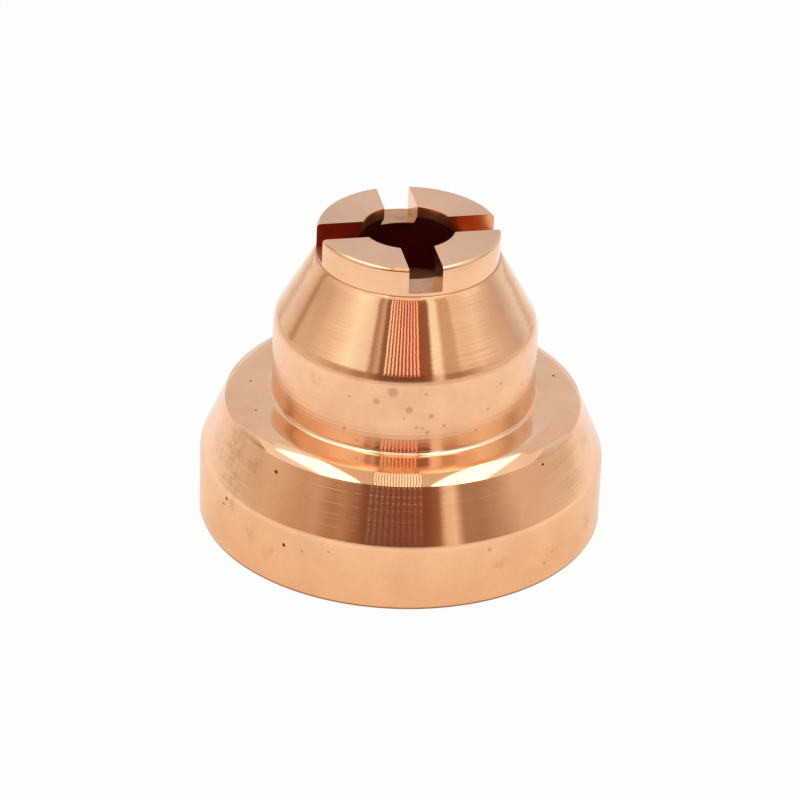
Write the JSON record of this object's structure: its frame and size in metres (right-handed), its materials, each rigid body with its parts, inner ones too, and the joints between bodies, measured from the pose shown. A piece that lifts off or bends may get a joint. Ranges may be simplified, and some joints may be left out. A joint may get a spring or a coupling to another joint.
{
  "type": "plasma drag shield",
  "caption": "Turned copper shield that caps a plasma cutting torch: threaded base, stepped neck and nose cone, and a slotted crown round the arc hole that drags on the plate.",
  "frame": {"origin": "centre of the open base's rim plane, on the turning axis", "axes": "+Z along the turning axis from the base to the crown; X and Y along the two saw passes that make the crown's slots"},
  "size_m": [0.028, 0.028, 0.0218],
  "materials": {
    "copper": "bare turned copper with fine turning marks, some small pits and stains"
  },
  "bodies": {
    "root": {"drag_shield": "copper"}
  },
  "joints": []
}
